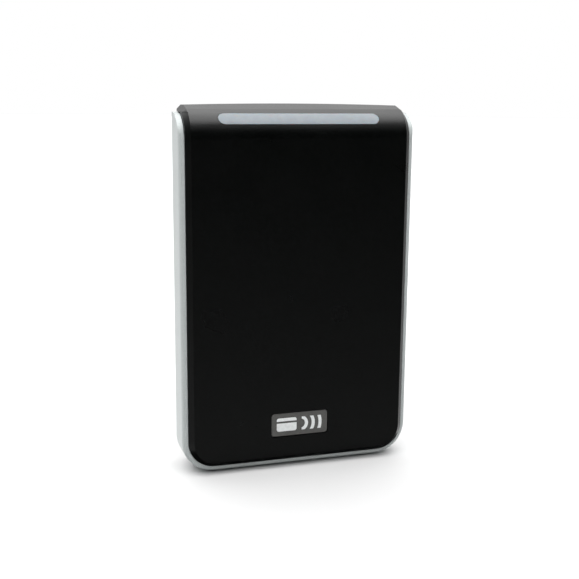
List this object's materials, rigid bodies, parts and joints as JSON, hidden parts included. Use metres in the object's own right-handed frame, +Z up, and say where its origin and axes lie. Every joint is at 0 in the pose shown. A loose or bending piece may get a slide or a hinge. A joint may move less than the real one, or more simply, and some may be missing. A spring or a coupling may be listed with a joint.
{
  "type": "rfid card reader",
  "caption": "Wall-mounted contactless card reader: black rounded cover in a silver side trim, light bar on the upper edge, small badge, hinged on a mounting plate.",
  "frame": {"origin": "centre of the mounting plate's wall face", "axes": "+Z up along the reader's length, +Y into the wall, the front faces -Y"},
  "size_m": [0.08, 0.0195, 0.1216],
  "materials": {
    "black_plastic": "fine textured",
    "silver_paint": "silver metallic paint on moulded plastic",
    "light_lens": "translucent satin",
    "light_guide": "translucent",
    "badge_grey": "satin",
    "badge_white": "printed relief",
    "housing_black": "matte",
    "seal_rubber": "soft",
    "steel": "zinc plated",
    "plate_plastic": "matte",
    "brass": "machined",
    "board_green": "solder mask",
    "copper": null,
    "ferrite": "matte",
    "foam": "foam",
    "chip_black": "moulded",
    "led_white": "satin",
    "terminal_green": "moulded",
    "smoked_window": "smooth",
    "can_metal": "plain"
  },
  "bodies": {
    "mounting_plate": {"mounting_plate": "plate_plastic", "plate_threaded_insert": "brass"},
    "reader": {"front_cover": "black_plastic", "side_trim": "silver_paint", "light_bar_lens": "light_lens", "light_guide": "light_guide", "led_board": "board_green", "leds": "led_white", "badge_plate": "badge_grey", "badge_symbol": "badge_white", "rear_housing": "housing_black", "hang_pins": "steel", "perimeter_seal": "seal_rubber", "housing_screws": "steel", "tamper_window": "smoked_window", "screw_sleeve": "brass", "board_screws": "steel", "terminal_header_5": "terminal_green", "terminal_header_5_pins": "can_metal", "terminal_header_7": "terminal_green", "terminal_header_7_pins": "can_metal", "main_board": "board_green", "antenna_board": "board_green", "ferrite_sheet": "ferrite", "hf_antenna_coil": "copper", "lf_antenna_coil": "copper", "antenna_spacers": "foam", "controller_chip": "chip_black", "radio_chip": "chip_black", "secure_element": "chip_black", "crystal": "can_metal", "power_regulator": "chip_black", "power_inductor": "ferrite", "capacitors": "can_metal", "ble_antenna": "led_white", "buzzer": "chip_black", "tamper_sensor": "chip_black", "board_connector": "led_white"},
    "screw_carrier": {"retaining_screw_washer": "steel"},
    "retaining_screw": {"retaining_screw": "steel"},
    "terminal_plug_5": {"terminal_plug_5_body": "terminal_green", "terminal_plug_5_screws": "steel", "terminal_plug_5_clamps": "brass"},
    "terminal_plug_7": {"terminal_plug_7_body": "terminal_green", "terminal_plug_7_screws": "steel", "terminal_plug_7_clamps": "brass"}
  },
  "joints": [
    {"name": "reader_tilt", "type": "hinge", "parent": "mounting_plate", "child": "reader", "pos_m": [0, -0.0032, 0.0535], "axis": [-1, 0, 0], "range_deg": [0, 15]},
    {"name": "screw_feed", "type": "slide", "parent": "reader", "child": "screw_carrier", "axis": [0, 0, 1], "range_m": [0, 0.004]},
    {"name": "screw_turn", "type": "hinge", "parent": "screw_carrier", "child": "retaining_screw", "pos_m": [0, -0.011, -0.0585], "axis": [0, 0, 1], "range_deg": [0, 2880]},
    {"name": "plug_5_pull", "type": "slide", "parent": "reader", "child": "terminal_plug_5", "axis": [0, 0, -1], "range_m": [0, 0.0065]},
    {"name": "plug_7_pull", "type": "slide", "parent": "reader", "child": "terminal_plug_7", "axis": [0, 0, -1], "range_m": [0, 0.0065]}
  ],
  "couplings": [
    {"joint": "screw_turn", "follows": "screw_feed", "rad_per_m": 12566}
  ]
}
